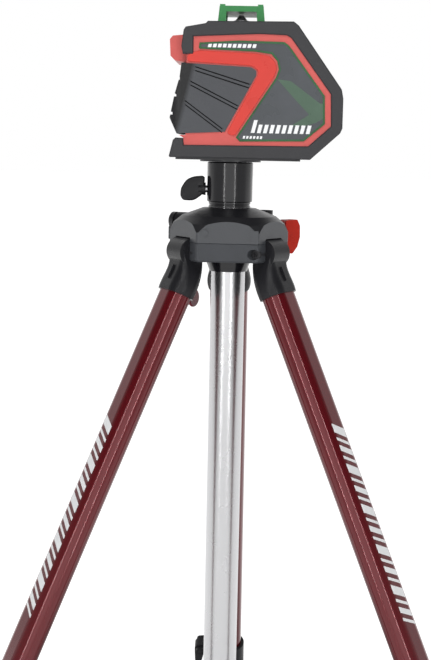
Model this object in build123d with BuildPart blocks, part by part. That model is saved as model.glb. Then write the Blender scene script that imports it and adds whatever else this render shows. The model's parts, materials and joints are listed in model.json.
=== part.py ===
from build123d import *
from math import atan2, cos, degrees, hypot, pi, radians, sin
import os

# Self-levelling line laser on a geared-column tripod. Lengths are mm, angles are degrees.
# +Z is up, the floor is z = 0, and the legs stand at azimuths 90, 210 and 330 about the column.

# ---------------------------------------------------------------- driving dimensions
# Legs. Distances along a leg run from its pivot down the tube.
LEG_AZIMUTHS = {"rear": 90, "left": 210, "right": 330}
LEG_ANGLE = 24.75            # open leg, measured from vertical
PIVOT_RADIUS = 33.5          # pivot bolt from the column axis
PIVOT_DROP = 13.2            # pivot bolt below the hub's reference level
TUBE_INSET = 5.3             # tube axis, inboard of the pivot bolt
UPPER_TUBE = (28.0, 17.6)    # outer width and depth of each leg section
MID_TUBE = (24.0, 13.6)
LOWER_TUBE = (20.0, 9.6)
TUBE_WALL = 1.2
SLIDE_GAP = 0.3              # between a clamp's throat and the tube that slides in it
UPPER_TOP, UPPER_END = 18.0, 412.0
MID_TOP, MID_END = 60.0, 458.0
LOWER_TOP, LOWER_END = 66.0, 492.0
CASTING_END = 30.0
UPPER_CLAMP = (394.0, 432.0)
LOWER_CLAMP = (440.0, 476.0)
CLAMP_WALL = 2.6
FOOT_TOP, FOOT_CENTRE, FOOT_RADIUS, FOOT_FLAT = 484.0, 505.0, 12.0, 10.0

# Hub
HEX_RADIUS = 42.0
HUB_TOP, HUB_BOTTOM, HUB_SPLIT = 17.0, -19.0, -6.0
SLOT_WIDTH, SLOT_INNER, SLOT_CEILING = 22.0, 21.0, -2.9
BOLT_RADIUS, BOLT_HEAD_RADIUS = 3.0, 3.4
BOLT_GRIP, BOLT_END = 17.0, 15.0     # from the leg's middle to the bolt's head and to its tip
RUNNING = 0.05               # radial clearance of a running fit

# Column and its rack drive
COLUMN_RADIUS, COLUMN_BORE = 12.0, 10.2
COLUMN_TOP, COLUMN_BOTTOM = 24.0, -350.0
BUSH_RADIUS, BUSH_TOP, BUSH_BOTTOM = 14.5, 13.0, -27.4
MODULE, PINION_TEETH = 1.0, 12
PITCH_RADIUS = MODULE * PINION_TEETH / 2
RACK_PITCH_LINE = 10.65      # from the column axis
RACK_WIDTH = 6.0
RACK_TOP, RACK_TEETH = 13.0, 88
CRANK_AZIMUTH, CRANK_HEIGHT = 150, 5.0
CRANK_SIDE = -(RACK_PITCH_LINE + PITCH_RADIUS)
CRANK_ARM_LENGTH, CRANK_ARM_ANGLE = 63.2, 21.2
CRANK_BUSH_END, ARM_THICKNESS = 53.9, 4.0
LOCK_AZIMUTH, LOCK_HEIGHT = 30, 0.0

# Pan head
BARREL_RADIUS, BARREL_BOTTOM, BARREL_TOP = 16.0, 17.3, 48.8
SPINDLE_RADIUS, SPINDLE_BOTTOM = 8.0, 26.0
PLATFORM_RADIUS, PLATFORM_BOTTOM, PLATFORM_TOP = 21.2, 49.0, 50.2
PAN_KNOB_HEIGHT = 29.8

# Laser. Its side outline is drawn in x and height above its own underside.
LASER_BOTTOM = 51.5
HALF_WIDTH = 34.0            # outer face of the bumper's side lips
PANEL_HALF = 32.5            # side panels of the housing
CORE_HALF = 29.0             # housing under the lips
GRIP_HALF = 33.2
PRISM_X = 5.5
GIMBAL_HEIGHT = 72.0

# ---------------------------------------------------------------- shared geometry
TILT = radians(LEG_ANGLE)
TUBE_START = (PIVOT_RADIUS - TUBE_INSET * cos(TILT), -PIVOT_DROP - TUBE_INSET * sin(TILT))
FOOT_CIRCLE = TUBE_START[0] + FOOT_CENTRE * sin(TILT)
HUB_LEVEL = FOOT_CENTRE * cos(TILT) - TUBE_START[1] + FOOT_FLAT
# One leg points along +Y and two along -Y, so the box's middle is a quarter circle off the column.
AXIS = Vector(0, -FOOT_CIRCLE / 4, HUB_LEVEL)
COLUMN = Plane(origin=AXIS)
COLUMN_AXIS = Axis(AXIS, (0, 0, 1))
HALF_SECTION = Plane(origin=AXIS, x_dir=(1, 0, 0), z_dir=(0, -1, 0))
SIDE_VIEW = Plane(origin=AXIS + Vector(0, 0, LASER_BOTTOM), x_dir=(1, 0, 0), z_dir=(0, -1, 0))


def outward(azimuth):
    return Vector(cos(radians(azimuth)), sin(radians(azimuth)), 0)


def around(azimuth):
    return Vector(-sin(radians(azimuth)), cos(radians(azimuth)), 0)


def radial_plane(azimuth, side=0.0, height=0.0):
    """Looks at the column from outside: x runs counter-clockwise, y up and z outward."""
    origin = AXIS + around(azimuth) * side + Vector(0, 0, height)
    return Plane(origin=origin, x_dir=around(azimuth), z_dir=outward(azimuth))


def pivot_point(azimuth):
    return AXIS + outward(azimuth) * PIVOT_RADIUS - Vector(0, 0, PIVOT_DROP)


def leg_plane(azimuth):
    """At the pivot, with z down the leg, x across its width and y out of its front."""
    down = outward(azimuth) * sin(TILT) - Vector(0, 0, cos(TILT))
    return Plane(origin=pivot_point(azimuth), x_dir=around(azimuth), z_dir=down)


def bolt_plane(azimuth):
    return Plane(origin=pivot_point(azimuth), x_dir=outward(azimuth), z_dir=around(azimuth))


def save(builder, name):
    builder.part.label = name
    export_step(builder.part, f"parts/{name}.step")


def hexagon(level):
    with BuildSketch(COLUMN.offset(level)) as sketch:
        RegularPolygon(HEX_RADIUS, 6)
        fillet(sketch.vertices(), 2.5)
    return sketch.sketch


def disc(plane, radius):
    with BuildSketch(plane) as sketch:
        Circle(radius)
    return sketch.sketch


def leg_slot(azimuth):
    with BuildSketch(radial_plane(azimuth).offset(SLOT_INNER)) as sketch:
        with Locations((0, (SLOT_CEILING + HUB_BOTTOM - 1) / 2)):
            Rectangle(SLOT_WIDTH, SLOT_CEILING - HUB_BOTTOM + 1)
    return sketch.sketch


def outline(plane, points, corner=0.0):
    """A closed straight-sided face on a plane, with its corners rounded."""
    with BuildSketch(plane) as sketch:
        Polygon(*points, align=None)
        if corner:
            fillet(sketch.vertices(), corner)
    return sketch.sketch


def leg_section(plane, distance, size):
    """A leg's stadium section, centred on the tube axis, at a distance down the leg."""
    with BuildSketch(plane.offset(distance)) as sketch:
        with Locations((0, -TUBE_INSET)):
            SlotOverall(size[0], size[1])
    return sketch.sketch


def grown(size, gap):
    return (size[0] + 2 * gap, size[1] + 2 * gap)


os.makedirs("parts", exist_ok=True)

# ---------------------------------------------------------------- hub
SCREW_SIDE, SCREW_DISTANCE, SCREW_TOP, SCREW_RADIUS = 9.0, 28.0, 6.0, 1.8
SCREW_HEAD_RADIUS, SCREW_HEAD_DEPTH, SCREW_RECESS = 3.1, 2.0, 2.4
HEAD_GAP = 0.2               # round a screw's or a bolt's head in its counterbore
BOLT_HEAD_DEPTH, KEY_RADIUS, KEY_DEPTH = 2.2, 1.9, 1.4
FREE_FACETS = (30, 150, 270)
RIB_SIDE, RIB_SIZE, RIB_TOP, RIB_FACE = 18.2, (5.6, 0.8), 3.0, 37.1
CAP_AZIMUTH, CAP_SIDE, CAP_HEIGHT, CAP_RADIUS, CAP_FACE = 270, -15.5, 1.0, 2.2, 37.4
BOSS_WALL, BOSS_END = 1.8, 37.0
PARTING = 0.5                # bevel that shows the joint between the hub's two halves
BUBBLE_DISTANCE, BUBBLE_RADIUS, BUBBLE_FLOOR, BUBBLE_TOP = 28.0, 6.5, 10.0, 15.2
BUBBLE_SPOT = COLUMN.offset(BUBBLE_FLOOR).shift_origin(
    AXIS + outward(LOCK_AZIMUTH) * BUBBLE_DISTANCE + Vector(0, 0, BUBBLE_FLOOR))
CRANK_PLANE = radial_plane(CRANK_AZIMUTH, CRANK_SIDE, CRANK_HEIGHT)
LOCK_PLANE = radial_plane(LOCK_AZIMUTH, 0, LOCK_HEIGHT)
POCKET_RADIUS, POCKET_HALF = PITCH_RADIUS + 1.2, 3.2
SHAFT_START = -4.6           # inner end of the pinion's shaft
VIAL_FLOOR, VIAL_WALL, VIAL_DEPTH = 1.4, 1.3, 3.4
DOME = [(0, HUB_SPLIT), (0, HUB_TOP), (18.7, HUB_TOP), (33, 11.6), (39, 6.5), (42.5, -1),
        (42.5, HUB_SPLIT)]


def screw_plane(azimuth, height):
    spot = AXIS + outward(azimuth) * SCREW_DISTANCE + around(azimuth) * SCREW_SIDE
    return Plane(origin=spot + Vector(0, 0, height))


with BuildPart() as hub_upper:
    extrude(hexagon(HUB_SPLIT), amount=HUB_TOP - HUB_SPLIT)
    dome = outline(HALF_SECTION, DOME)
    revolve(dome, axis=COLUMN_AXIS, mode=Mode.INTERSECT)
    extrude(disc(CRANK_PLANE, POCKET_RADIUS + BOSS_WALL), amount=BOSS_END)
    extrude(disc(CRANK_PLANE.offset(-9), PITCH_RADIUS), amount=10)
    extrude(disc(radial_plane(CAP_AZIMUTH, CAP_SIDE, CAP_HEIGHT), CAP_RADIUS), amount=CAP_FACE)
    for azimuth in FREE_FACETS:
        with BuildSketch(radial_plane(azimuth, RIB_SIDE, (HUB_SPLIT + RIB_TOP) / 2)):
            RectangleRounded(RIB_SIZE[0], RIB_TOP - HUB_SPLIT, RIB_SIZE[1])
        extrude(amount=RIB_FACE)
        extrude(disc(screw_plane(azimuth, HUB_SPLIT), SCREW_RADIUS),
                amount=SCREW_TOP - HUB_SPLIT, mode=Mode.SUBTRACT)
    extrude(disc(COLUMN.offset(HUB_SPLIT), BUSH_RADIUS), amount=BUSH_TOP - HUB_SPLIT,
            mode=Mode.SUBTRACT)
    extrude(disc(COLUMN.offset(BUSH_TOP), COLUMN_RADIUS + 0.5), amount=HUB_TOP,
            mode=Mode.SUBTRACT)
    for azimuth in LEG_AZIMUTHS.values():
        extrude(leg_slot(azimuth), amount=HEX_RADIUS, mode=Mode.SUBTRACT)
    extrude(disc(CRANK_PLANE.offset(-POCKET_HALF), POCKET_RADIUS), amount=50,
            mode=Mode.SUBTRACT)
    extrude(disc(CRANK_PLANE.offset(SHAFT_START - 0.2), BOLT_RADIUS + RUNNING), amount=4,
            mode=Mode.SUBTRACT)
    extrude(disc(LOCK_PLANE, BOLT_RADIUS + RUNNING), amount=HEX_RADIUS, mode=Mode.SUBTRACT)
    extrude(disc(BUBBLE_SPOT, BUBBLE_RADIUS), amount=HUB_TOP, mode=Mode.SUBTRACT)
save(hub_upper, "hub_upper")

with BuildPart() as hub_lower:
    extrude(hexagon(HUB_BOTTOM), amount=HUB_SPLIT - HUB_BOTTOM)
    chamfer(hub_lower.faces().sort_by(Axis.Z)[0].edges(), 1.2)
    chamfer(hub_lower.faces().sort_by(Axis.Z)[-1].edges(), PARTING)
    extrude(disc(COLUMN.offset(HUB_BOTTOM), BUSH_RADIUS), amount=HUB_SPLIT - HUB_BOTTOM,
            mode=Mode.SUBTRACT)
    for azimuth in LEG_AZIMUTHS.values():
        extrude(leg_slot(azimuth), amount=HEX_RADIUS, mode=Mode.SUBTRACT)
        head = bolt_plane(azimuth).offset(-BOLT_GRIP)
        extrude(disc(head, BOLT_RADIUS), amount=BOLT_GRIP + BOLT_END, mode=Mode.SUBTRACT)
        extrude(disc(head, BOLT_HEAD_RADIUS + HEAD_GAP), amount=-12, mode=Mode.SUBTRACT)
    for azimuth in FREE_FACETS:
        extrude(disc(screw_plane(azimuth, HUB_BOTTOM), SCREW_RADIUS),
                amount=HUB_SPLIT - HUB_BOTTOM, mode=Mode.SUBTRACT)
        extrude(disc(screw_plane(azimuth, HUB_BOTTOM), SCREW_HEAD_RADIUS + HEAD_GAP),
                amount=SCREW_RECESS, mode=Mode.SUBTRACT)
save(hub_lower, "hub_lower")

BUSH_TIP_RADIUS, BUSH_FLANGE_RADIUS = 13.2, 16.2
with BuildPart() as column_bush:
    inner = COLUMN_RADIUS + RUNNING
    section = outline(HALF_SECTION, [(inner, BUSH_BOTTOM), (BUSH_TIP_RADIUS, BUSH_BOTTOM),
                                     (BUSH_FLANGE_RADIUS, HUB_BOTTOM), (BUSH_RADIUS, HUB_BOTTOM),
                                     (BUSH_RADIUS, BUSH_TOP), (inner, BUSH_TOP)])
    revolve(section, axis=COLUMN_AXIS)
    extrude(disc(CRANK_PLANE, POCKET_RADIUS), amount=POCKET_HALF, both=True,
            mode=Mode.SUBTRACT)
    extrude(disc(CRANK_PLANE, BOLT_RADIUS + 0.3), amount=8, both=True, mode=Mode.SUBTRACT)
save(column_bush, "column_bush")

CRANK_BUSH_RADIUS = 6.5
with BuildPart() as crank_bush:
    extrude(disc(CRANK_PLANE.offset(POCKET_HALF), POCKET_RADIUS),
            amount=BOSS_END - POCKET_HALF)
    extrude(disc(CRANK_PLANE.offset(BOSS_END), CRANK_BUSH_RADIUS),
            amount=CRANK_BUSH_END - BOSS_END)
    chamfer(crank_bush.edges().filter_by(GeomType.CIRCLE).sort_by(Axis.X)[0], 0.8)
    extrude(disc(CRANK_PLANE, BOLT_RADIUS + RUNNING), amount=60, mode=Mode.SUBTRACT)
    extrude(disc(COLUMN.offset(HUB_BOTTOM), BUSH_RADIUS), amount=HUB_TOP - HUB_BOTTOM,
            mode=Mode.SUBTRACT)
save(crank_bush, "crank_bush")

with BuildPart() as hub_screws:
    for azimuth in FREE_FACETS:
        extrude(disc(screw_plane(azimuth, HUB_BOTTOM + SCREW_RECESS), SCREW_RADIUS),
                amount=SCREW_TOP - HUB_BOTTOM - SCREW_RECESS)
        extrude(disc(screw_plane(azimuth, HUB_BOTTOM + SCREW_RECESS), SCREW_HEAD_RADIUS),
                amount=-SCREW_HEAD_DEPTH)
save(hub_screws, "hub_screws")

with BuildPart() as leg_pivot_bolts:
    for azimuth in LEG_AZIMUTHS.values():
        head = bolt_plane(azimuth).offset(-BOLT_GRIP)
        extrude(disc(head, BOLT_RADIUS), amount=BOLT_GRIP + BOLT_END)
        extrude(disc(head, BOLT_HEAD_RADIUS), amount=-BOLT_HEAD_DEPTH)
        with BuildSketch(head.offset(-BOLT_HEAD_DEPTH)):
            RegularPolygon(KEY_RADIUS, 6)
        extrude(amount=KEY_DEPTH, mode=Mode.SUBTRACT)
save(leg_pivot_bolts, "leg_pivot_bolts")

with BuildPart() as bubble_housing:
    extrude(disc(BUBBLE_SPOT, BUBBLE_RADIUS), amount=BUBBLE_TOP - BUBBLE_FLOOR)
    extrude(disc(BUBBLE_SPOT.offset(VIAL_FLOOR), BUBBLE_RADIUS - VIAL_WALL),
            amount=BUBBLE_TOP, mode=Mode.SUBTRACT)
save(bubble_housing, "bubble_housing")

with BuildPart() as bubble_vial:
    extrude(disc(BUBBLE_SPOT.offset(VIAL_FLOOR), BUBBLE_RADIUS - VIAL_WALL), amount=VIAL_DEPTH)
    fillet(bubble_vial.edges().group_by(Axis.Z)[-1], 1.2)
save(bubble_vial, "bubble_vial")

# ---------------------------------------------------------------- column
RACK_TIP = RACK_PITCH_LINE + 0.85 * MODULE
RACK_ROOT = RACK_PITCH_LINE - MODULE
RACK_BACK = 8.4
TOOTH_PITCH = pi * MODULE
RACK_LENGTH = RACK_TEETH * TOOTH_PITCH
# The rack's flat face looks at the crank shaft, square to the shaft's own direction.
RACK_PLANE = Plane(origin=AXIS, x_dir=-around(CRANK_AZIMUTH), z_dir=outward(CRANK_AZIMUTH))
TOOTH_ROOT_HALF, TOOTH_TIP_HALF = 0.95, 0.28
CAP_THICKNESS, CAP_PLUG = 6.0, 12.0


def rack_blank(back, tip):
    with BuildSketch(RACK_PLANE) as sketch:
        with Locations(((back + tip) / 2, -(RACK_TOP - RACK_LENGTH / 2))):
            Rectangle(tip - back, RACK_LENGTH)
    return sketch.sketch


with BuildPart() as column_tube:
    extrude(disc(COLUMN.offset(COLUMN_BOTTOM), COLUMN_RADIUS),
            amount=COLUMN_TOP - COLUMN_BOTTOM)
    extrude(disc(COLUMN.offset(COLUMN_BOTTOM), COLUMN_BORE), amount=COLUMN_TOP - COLUMN_BOTTOM,
            mode=Mode.SUBTRACT)
    extrude(rack_blank(RACK_BACK, COLUMN_RADIUS + 1), amount=RACK_WIDTH / 2, both=True,
            mode=Mode.SUBTRACT)
save(column_tube, "column_tube")

with BuildPart() as column_rack:
    extrude(rack_blank(RACK_BACK, RACK_ROOT), amount=RACK_WIDTH / 2, both=True)
    with BuildSketch(RACK_PLANE):
        for number in range(RACK_TEETH):
            level = -(RACK_TOP - (number + 0.5) * TOOTH_PITCH)
            with Locations((RACK_ROOT, level)):
                Polygon((-0.3, -TOOTH_ROOT_HALF), (0, -TOOTH_ROOT_HALF),
                        (RACK_TIP - RACK_ROOT, -TOOTH_TIP_HALF),
                        (RACK_TIP - RACK_ROOT, TOOTH_TIP_HALF), (0, TOOTH_ROOT_HALF),
                        (-0.3, TOOTH_ROOT_HALF), align=None)
    extrude(amount=RACK_WIDTH / 2, both=True)
save(column_rack, "column_rack")

with BuildPart() as column_end_cap:
    extrude(disc(COLUMN.offset(COLUMN_BOTTOM), COLUMN_RADIUS + 1.2), amount=-CAP_THICKNESS)
    fillet(column_end_cap.edges().group_by(Axis.Z)[0], 2)
    extrude(disc(COLUMN.offset(COLUMN_BOTTOM), COLUMN_BORE), amount=CAP_PLUG)
save(column_end_cap, "column_end_cap")

NECK_RADIUS, GROOVE_RADIUS = 14.8, 14.2
PAN_SCREW_RADIUS = 2.5
PAN_KNOB_PLANE = radial_plane(180, 0, PAN_KNOB_HEIGHT)
with BuildPart() as head_barrel:
    section = outline(HALF_SECTION, [
        (COLUMN_RADIUS, BARREL_BOTTOM), (NECK_RADIUS, BARREL_BOTTOM), (NECK_RADIUS, 18.6),
        (GROOVE_RADIUS, 18.9), (GROOVE_RADIUS, 19.4), (NECK_RADIUS, 19.7), (NECK_RADIUS, 21.0),
        (BARREL_RADIUS, 21.6),
        (BARREL_RADIUS, BARREL_TOP - 0.8), (BARREL_RADIUS - 0.8, BARREL_TOP),
        (SPINDLE_RADIUS + RUNNING, BARREL_TOP), (SPINDLE_RADIUS + RUNNING, COLUMN_TOP),
        (COLUMN_RADIUS, COLUMN_TOP)])
    revolve(section, axis=COLUMN_AXIS)
    extrude(disc(PAN_KNOB_PLANE, PAN_SCREW_RADIUS + RUNNING), amount=30, mode=Mode.SUBTRACT)
save(head_barrel, "head_barrel")

# ---------------------------------------------------------------- crank and column lock
KNOB_START, KNOB_LENGTH, KNOB_RADIUS, KNOB_PIN = 59.2, 16.8, 7.0, 2.0
KNOB_CAP_START, KNOB_CAP_DEPTH = 53.0, 1.6     # rivet cap on the arm's inner side
TOOTH_ANGLE = 360 / PINION_TEETH
ARM_END = (-CRANK_ARM_LENGTH * sin(radians(CRANK_ARM_ANGLE)),
           -CRANK_ARM_LENGTH * cos(radians(CRANK_ARM_ANGLE)))
KNOB_PLANE = CRANK_PLANE.shift_origin(
    CRANK_PLANE.from_local_coords((ARM_END[0], ARM_END[1], 0)))
ARM_START = CRANK_BUSH_END + 1.0
ARM_TIP_RADIUS = 5.5
GEAR_ROOT, GEAR_HALF_WIDTH = PITCH_RADIUS - 1.15 * MODULE, 2.5
# Half of one pinion tooth: how far out of the root circle, and how far from its middle line.
GEAR_TOOTH = [(-0.4, 1.0), (0, 1.0), (1.15, 0.55), (1.9, 0.2)]

with BuildPart() as pinion_shaft:
    extrude(disc(CRANK_PLANE.offset(SHAFT_START), BOLT_RADIUS),
            amount=ARM_START + ARM_THICKNESS - SHAFT_START)
    with BuildSketch(CRANK_PLANE):
        Circle(GEAR_ROOT)
        with PolarLocations(GEAR_ROOT, PINION_TEETH, start_angle=TOOTH_ANGLE / 2):
            Polygon(*GEAR_TOOTH, *[(x, -y) for x, y in GEAR_TOOTH[::-1]], align=None)
    extrude(amount=GEAR_HALF_WIDTH, both=True)
save(pinion_shaft, "pinion_shaft")

with BuildPart() as crank_arm:
    with BuildSketch(CRANK_PLANE.offset(ARM_START)):
        Circle(CRANK_BUSH_RADIUS)
        with Locations(ARM_END):
            Circle(ARM_TIP_RADIUS)
        make_hull()
    extrude(amount=ARM_THICKNESS)
    faces = crank_arm.faces().sort_by(Axis(CRANK_PLANE.origin, CRANK_PLANE.z_dir))
    chamfer(faces[-1].edges(), 0.8)
    extrude(disc(KNOB_PLANE, KNOB_PIN + RUNNING), amount=90, mode=Mode.SUBTRACT)
    extrude(disc(CRANK_PLANE, BOLT_RADIUS), amount=90, mode=Mode.SUBTRACT)
save(crank_arm, "crank_arm")

with BuildPart() as crank_knob:
    extrude(disc(KNOB_PLANE.offset(KNOB_START), KNOB_RADIUS), amount=KNOB_LENGTH)
    ends = crank_knob.edges().filter_by(GeomType.CIRCLE)
    ends = ends.sort_by(Axis(KNOB_PLANE.origin, KNOB_PLANE.z_dir))
    fillet(ends[-1], 3.5)
    fillet(ends[0], 1.5)
    extrude(disc(KNOB_PLANE.offset(KNOB_CAP_START), KNOB_PIN),
            amount=KNOB_START - KNOB_CAP_START + 1)
    extrude(disc(KNOB_PLANE.offset(KNOB_CAP_START), KNOB_RADIUS), amount=KNOB_CAP_DEPTH)
    caps = crank_knob.edges().filter_by(GeomType.CIRCLE)
    caps = caps.sort_by(Axis(KNOB_PLANE.origin, KNOB_PLANE.z_dir))
    fillet(caps[0], 1.1)
save(crank_knob, "crank_knob")

LOCK_SIDE_VIEW = Plane(origin=AXIS, x_dir=outward(LOCK_AZIMUTH), z_dir=-around(LOCK_AZIMUTH))
PADDLE = [(44, 8.2), (53.5, 8.6), (55.8, 4), (56, -4), (54, -11), (50, -16), (46, -15.5),
          (44.5, -8)]
PADDLE_HALF, PADDLE_CORNER = 4.6, 1.4
LOCK_SCREW_START, LOCK_SCREW_LENGTH = 14.8, 31.0
with BuildPart() as lock_lever:
    extrude(disc(LOCK_PLANE.offset(LOCK_SCREW_START), BOLT_RADIUS), amount=LOCK_SCREW_LENGTH)
    extrude(disc(LOCK_PLANE.offset(37), 5.4), amount=8)
    extrude(outline(LOCK_SIDE_VIEW, PADDLE, PADDLE_CORNER), amount=PADDLE_HALF, both=True)
save(lock_lever, "lock_lever")

# ---------------------------------------------------------------- pan head
WAIST_RADIUS = 7.2           # groove of the spindle that the pan screw bears on
STUD_RADIUS, STUD_LENGTH = 3.1, 6.8
with BuildPart() as pan_platform:
    section = outline(HALF_SECTION, [
        (0, SPINDLE_BOTTOM), (SPINDLE_RADIUS, SPINDLE_BOTTOM), (SPINDLE_RADIUS, 27.0),
        (WAIST_RADIUS, 27.4), (WAIST_RADIUS, 32.2), (SPINDLE_RADIUS, 32.6),
        (SPINDLE_RADIUS, PLATFORM_BOTTOM), (PLATFORM_RADIUS, PLATFORM_BOTTOM),
        (PLATFORM_RADIUS, PLATFORM_TOP), (STUD_RADIUS, PLATFORM_TOP),
        (STUD_RADIUS, PLATFORM_TOP + STUD_LENGTH - 0.6),
        (STUD_RADIUS - 0.5, PLATFORM_TOP + STUD_LENGTH), (0, PLATFORM_TOP + STUD_LENGTH)])
    revolve(section, axis=COLUMN_AXIS)
save(pan_platform, "pan_platform")

PAN_SCREW_START, PAN_SCREW_END = 7.4, 25.4
LEAF_DISTANCE, LEAF_RADIUS, LEAF_HALF = 26.0, 8.4, 3.5
PAN_HUB_START, PAN_HUB_RADIUS = 17.3, 4.5
with BuildPart() as pan_screw:
    extrude(disc(PAN_KNOB_PLANE.offset(PAN_SCREW_START), PAN_SCREW_RADIUS),
            amount=PAN_SCREW_END - PAN_SCREW_START)
save(pan_screw, "pan_screw")

with BuildPart() as pan_knob:
    with BuildSketch(HALF_SECTION):
        with Locations((-LEAF_DISTANCE, PAN_KNOB_HEIGHT)):
            Circle(LEAF_RADIUS)
    extrude(amount=LEAF_HALF, both=True)
    fillet(pan_knob.edges(), 2.4)
    extrude(disc(PAN_KNOB_PLANE.offset(PAN_HUB_START), PAN_HUB_RADIUS), amount=10)
    extrude(disc(PAN_KNOB_PLANE, PAN_SCREW_RADIUS), amount=PAN_SCREW_END, mode=Mode.SUBTRACT)
save(pan_knob, "pan_knob")

# ---------------------------------------------------------------- legs
LEVER_LENGTH, LEVER_HALF, CAM_RADIUS, PIN_RADIUS = 27.0, 4.2, 4.6, 1.6
CAM_GAP, EAR_RADIUS, EAR_HALF = 1.0, 3.2, 8.4
EYE_RADIUS, EYE_HALF = 10.0, 10.7
# The casting's rounded sections: distance down the leg, shift outward, width, depth, corner.
CASTING_SECTIONS = ((3, 4.6, 21.4, 20.0, 3.0), (12, 0.6, 25.6, 18.8, 6.0),
                    (18, 0, 29.8, 19.6, 8.5), (CASTING_END, 0, 30.4, 19.8, 8.8))
RIDGE_START, RIDGE_END, RIDGE_WIDTH, RIDGE_LOW, RIDGE_HIGH = 12.0, 22.0, 2.2, 3.6, 5.8


def lever_pin(clamp_size, clamp_top):
    """Where a clamp's lever turns: sideways from the tube axis, and along the leg."""
    return (clamp_size[0] / 2 + CAM_RADIUS + CAM_GAP, clamp_top + 6.0)


def ear_plane(plane, spot):
    """Square to the lever's pin, which runs out of the leg's front."""
    origin = plane.from_local_coords((spot[0], -TUBE_INSET, spot[1]))
    return Plane(origin=origin, x_dir=plane.x_dir, z_dir=-plane.y_dir)


def stadium_prism(plane, start, end, size, mode=Mode.ADD):
    return extrude(leg_section(plane, start, size), amount=end - start, mode=mode)


def clamp_ears(plane, clamp_size, clamp_top):
    """Side view of one ear, from inside the collar out to the round end about the pin."""
    spot = lever_pin(clamp_size, clamp_top)
    with BuildSketch(ear_plane(plane, spot)) as sketch:
        Circle(EAR_RADIUS)
        with Locations((-(CAM_RADIUS + 2.2), 0)):
            Rectangle(1.0, 8)
        make_hull()
    return sketch.sketch


def lever_sketch(plane, spot):
    """Cam, arm and finger tip of a flip lever, hanging straight down the leg."""
    with BuildSketch(ear_plane(plane, spot)) as sketch:
        Circle(CAM_RADIUS)
        with Locations((CAM_RADIUS - 2.1, LEVER_LENGTH)):
            Circle(1.5)
        with Locations((CAM_RADIUS - 2.2, 4)):
            Circle(2.2)
        make_hull()
    return sketch.sketch


for leg, azimuth in LEG_AZIMUTHS.items():
    plane = leg_plane(azimuth)
    upper_clamp_size = grown(UPPER_TUBE, CLAMP_WALL)
    lower_clamp_size = grown(MID_TUBE, CLAMP_WALL)

    with BuildPart() as casting:
        for distance, shift, width, depth, corner in CASTING_SECTIONS:
            with BuildSketch(plane.offset(distance)):
                with Locations((0, shift - TUBE_INSET)):
                    RectangleRounded(width, depth, corner)
        loft()
        extrude(disc(bolt_plane(azimuth), EYE_RADIUS), amount=EYE_HALF, both=True)
        with BuildSketch(plane.offset(RIDGE_START)):
            with Locations((0, (RIDGE_LOW + RIDGE_HIGH) / 2)):
                Rectangle(RIDGE_WIDTH, RIDGE_HIGH - RIDGE_LOW)
        extrude(amount=RIDGE_END - RIDGE_START)
        stadium_prism(plane, UPPER_TOP, CASTING_END + 1, UPPER_TUBE, Mode.SUBTRACT)
        extrude(disc(bolt_plane(azimuth), BOLT_RADIUS + RUNNING), amount=12, both=True,
                mode=Mode.SUBTRACT)
    save(casting, f"leg_{leg}_casting")

    with BuildPart() as upper_tube:
        stadium_prism(plane, UPPER_TOP, UPPER_END, UPPER_TUBE)
        stadium_prism(plane, UPPER_TOP, UPPER_END, grown(UPPER_TUBE, -TUBE_WALL),
                      Mode.SUBTRACT)
    save(upper_tube, f"leg_{leg}_upper_tube")

    with BuildPart() as mid_tube:
        stadium_prism(plane, MID_TOP, MID_END, MID_TUBE)
        stadium_prism(plane, MID_TOP, MID_END, grown(MID_TUBE, -TUBE_WALL), Mode.SUBTRACT)
    save(mid_tube, f"leg_{leg}_mid_tube")

    with BuildPart() as lower_tube:
        stadium_prism(plane, LOWER_TOP, LOWER_END, LOWER_TUBE)
        stadium_prism(plane, LOWER_TOP, LOWER_END, grown(LOWER_TUBE, -TUBE_WALL),
                      Mode.SUBTRACT)
    save(lower_tube, f"leg_{leg}_lower_tube")

    stages = (
        ("upper", UPPER_CLAMP, upper_clamp_size, UPPER_TUBE, UPPER_END, MID_TUBE),
        ("lower", LOWER_CLAMP, lower_clamp_size, MID_TUBE, MID_END, LOWER_TUBE))
    for stage, ends, size, held_tube, held_end, sliding_tube in stages:
        spot = lever_pin(size, ends[0])
        with BuildPart() as clamp:
            stadium_prism(plane, ends[0], ends[1], size)
            chamfer(clamp.edges().filter_by(GeomType.CIRCLE), 0.8)
            extrude(clamp_ears(plane, size, ends[0]), amount=EAR_HALF, both=True)
            extrude(disc(ear_plane(plane, spot), CAM_RADIUS + CAM_GAP), amount=LEVER_HALF + 0.4,
                    both=True, mode=Mode.SUBTRACT)
            stadium_prism(plane, ends[0] - 1, held_end, held_tube, Mode.SUBTRACT)
            stadium_prism(plane, held_end, ends[1] + 1, grown(sliding_tube, SLIDE_GAP),
                          Mode.SUBTRACT)
            extrude(disc(ear_plane(plane, spot), PIN_RADIUS + RUNNING), amount=12, both=True,
                    mode=Mode.SUBTRACT)
        save(clamp, f"leg_{leg}_{stage}_clamp")

        with BuildPart() as lever:
            extrude(lever_sketch(plane, spot), amount=LEVER_HALF, both=True)
            extrude(disc(ear_plane(plane, spot), PIN_RADIUS), amount=EAR_HALF - 0.2, both=True)
        save(lever, f"leg_{leg}_{stage}_lever")

    with BuildPart() as foot:
        stadium_prism(plane, FOOT_TOP, FOOT_CENTRE, grown(LOWER_TUBE, 2.2))
        with Locations(plane.from_local_coords((0, -TUBE_INSET, FOOT_CENTRE))):
            Sphere(FOOT_RADIUS)
        split(bisect_by=Plane.XY, keep=Keep.TOP)
        stadium_prism(plane, FOOT_TOP - 1, LOWER_END, LOWER_TUBE, Mode.SUBTRACT)
    save(foot, f"leg_{leg}_foot")

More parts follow.
